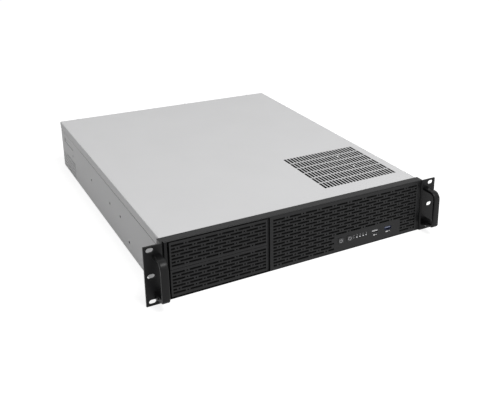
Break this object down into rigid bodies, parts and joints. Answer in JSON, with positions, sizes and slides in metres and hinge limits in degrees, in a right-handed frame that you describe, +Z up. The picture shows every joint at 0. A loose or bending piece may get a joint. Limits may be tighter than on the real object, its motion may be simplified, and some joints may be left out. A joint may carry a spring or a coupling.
{
  "type": "empty rackmount server case",
  "caption": "Empty rack-mounted server case with a mesh front, grip handles, wide bay covers, a sliding lid with a vent and open bays inside.",
  "frame": {"origin": "centre of the six rack slots, on the rear face of the ears, which bears on the rack's rails", "axes": "+X to the right seen from the front, +Y from the front to the rear, +Z up"},
  "size_m": [0.4826, 0.6049, 0.0882],
  "materials": {
    "case_paint": "pale grey powder coat, matte",
    "inner_steel": "zinc-plated sheet",
    "black_paint": "black powder coat, fine grain",
    "black_mesh": "black powder coat on punched sheet",
    "filter_foam": "black open foam",
    "button_plastic": "grey moulded plastic",
    "lens": "clear milky plastic",
    "port_metal": "plated steel",
    "white_plastic": "white plastic",
    "blue_plastic": "blue plastic",
    "board_green": "green solder mask",
    "black_plastic": "black moulded plastic",
    "zinc_screw": "zinc-plated screws",
    "black_screw": "blackened screws",
    "brass": "turned brass"
  },
  "bodies": {
    "case": {"bay_cage": "inner_steel", "bay_filters": "filter_foam", "board_posts": "brass", "board_screws": "zinc_screw", "button_switches": "black_plastic", "chassis_tray": "case_paint", "drive_cage": "inner_steel", "ear_side_screws": "black_screw", "fan_frame_1": "black_plastic", "fan_frame_2": "black_plastic", "fan_frame_3": "black_plastic", "fan_wall": "inner_steel", "foot_screws": "black_screw", "front_frame": "black_paint", "front_mesh": "black_mesh", "front_wall": "inner_steel", "handle_screws": "zinc_screw", "indicator_1": "lens", "indicator_2": "lens", "indicator_3": "lens", "indicator_4": "lens", "indicator_5": "lens", "inlet_pins": "brass", "inlet_screws": "zinc_screw", "left_ear": "black_paint", "left_handle": "black_paint", "left_port_shell": "port_metal", "left_port_tongue": "white_plastic", "lower_bay_cover": "black_mesh", "mesh_filter": "filter_foam", "panel_board": "board_green", "power_inlet": "black_plastic", "rear_panel": "case_paint", "right_ear": "black_paint", "right_handle": "black_paint", "right_port_shell": "port_metal", "right_port_tongue": "blue_plastic", "slot_cover_1": "inner_steel", "slot_cover_2": "inner_steel", "slot_cover_3": "inner_steel", "slot_cover_4": "inner_steel", "slot_cover_5": "inner_steel", "slot_cover_6": "inner_steel", "slot_cover_7": "inner_steel", "slot_plate": "inner_steel", "slot_screws": "zinc_screw", "standoffs": "brass", "supply_cradle": "black_paint", "upper_bay_cover": "black_mesh"},
    "cover": {"top_cover": "case_paint", "cover_thumbscrews": "zinc_screw"},
    "power_key": {"power_button": "button_plastic"},
    "reset_key": {"reset_button": "button_plastic"},
    "rotor_1": {"fan_rotor_1": "black_plastic"},
    "rotor_2": {"fan_rotor_2": "black_plastic"},
    "rotor_3": {"fan_rotor_3": "black_plastic"}
  },
  "joints": [
    {"name": "cover_slide", "type": "slide", "parent": "case", "child": "cover", "axis": [0, 1, 0], "range_m": [0, 0.02]},
    {"name": "power_press", "type": "slide", "parent": "case", "child": "power_key", "axis": [0, 1, 0], "range_m": [0, 0.0008], "stiffness_N_per_m": 900},
    {"name": "reset_press", "type": "slide", "parent": "case", "child": "reset_key", "axis": [0, 1, 0], "range_m": [0, 0.0008], "stiffness_N_per_m": 900},
    {"name": "fan_1_spin", "type": "hinge", "parent": "case", "child": "rotor_1", "pos_m": [-0.15, 0.2159, -0.00085], "axis": [0, 1, 0], "continuous": true},
    {"name": "fan_2_spin", "type": "hinge", "parent": "case", "child": "rotor_2", "pos_m": [-0.062, 0.2159, -0.00085], "axis": [0, 1, 0], "continuous": true},
    {"name": "fan_3_spin", "type": "hinge", "parent": "case", "child": "rotor_3", "pos_m": [0.026, 0.2159, -0.00085], "axis": [0, 1, 0], "continuous": true}
  ]
}
